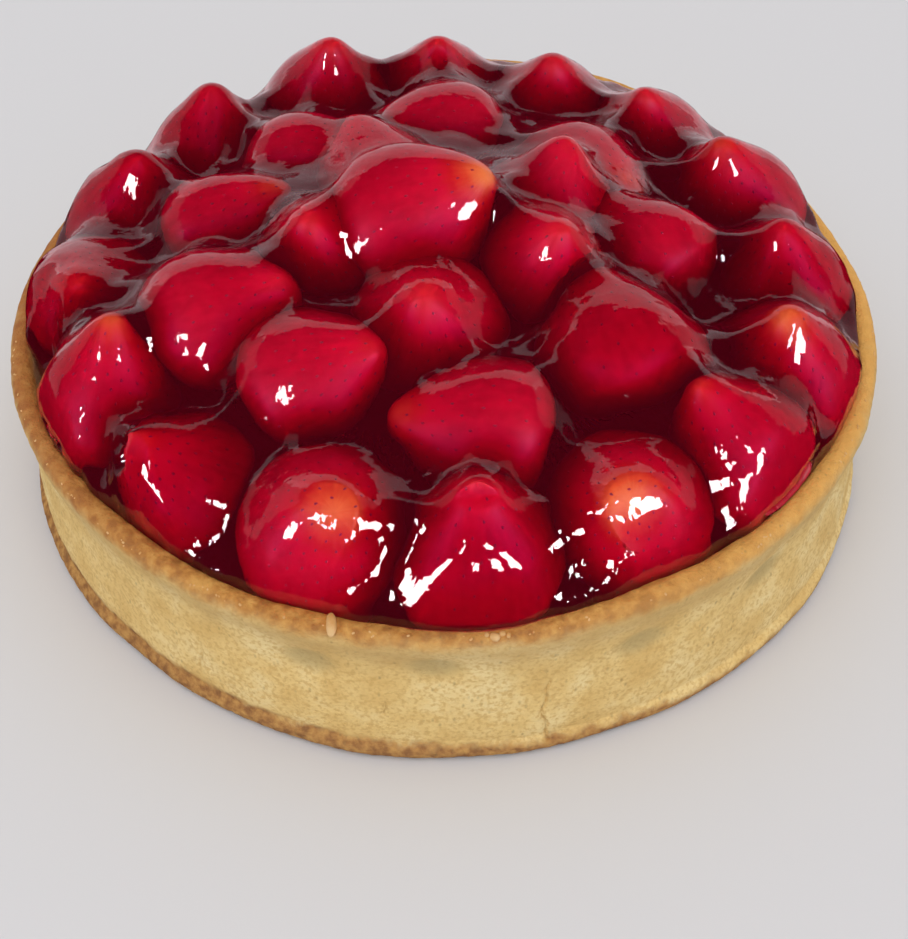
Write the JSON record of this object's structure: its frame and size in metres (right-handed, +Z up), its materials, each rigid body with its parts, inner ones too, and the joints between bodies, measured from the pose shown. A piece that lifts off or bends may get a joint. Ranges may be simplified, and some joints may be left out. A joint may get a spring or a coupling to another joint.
{
  "type": "strawberry tart",
  "caption": "Whole round strawberry tart: straight-sided pastry case filled to the rim with a domed heap of whole strawberries set in red jelly.",
  "frame": {"origin": "middle of the flat underside of the pastry case", "axes": "+Z up out of the case, -Y towards the front, where the shallow finger dents and the crack are"},
  "size_m": [0.2296, 0.2341, 0.095],
  "materials": {
    "pastry": "baked shortcrust, matt and finely pored, toasted at the rim",
    "strawberry": "wet fruit skin, red with orange tips and small seeds",
    "jelly": "clear red jelly, very glossy"
  },
  "bodies": {
    "root": {"crust": "pastry", "jelly": "jelly", "strawberry_01": "strawberry", "strawberry_02": "strawberry", "strawberry_03": "strawberry", "strawberry_04": "strawberry", "strawberry_05": "strawberry", "strawberry_06": "strawberry", "strawberry_07": "strawberry", "strawberry_08": "strawberry", "strawberry_09": "strawberry", "strawberry_10": "strawberry", "strawberry_11": "strawberry", "strawberry_12": "strawberry", "strawberry_13": "strawberry", "strawberry_14": "strawberry", "strawberry_15": "strawberry", "strawberry_16": "strawberry", "strawberry_17": "strawberry", "strawberry_18": "strawberry", "strawberry_19": "strawberry", "strawberry_20": "strawberry", "strawberry_21": "strawberry", "strawberry_22": "strawberry", "strawberry_23": "strawberry", "strawberry_24": "strawberry", "strawberry_25": "strawberry", "strawberry_26": "strawberry", "strawberry_27": "strawberry", "strawberry_28": "strawberry", "strawberry_29": "strawberry", "strawberry_30": "strawberry", "strawberry_31": "strawberry"}
  },
  "joints": []
}
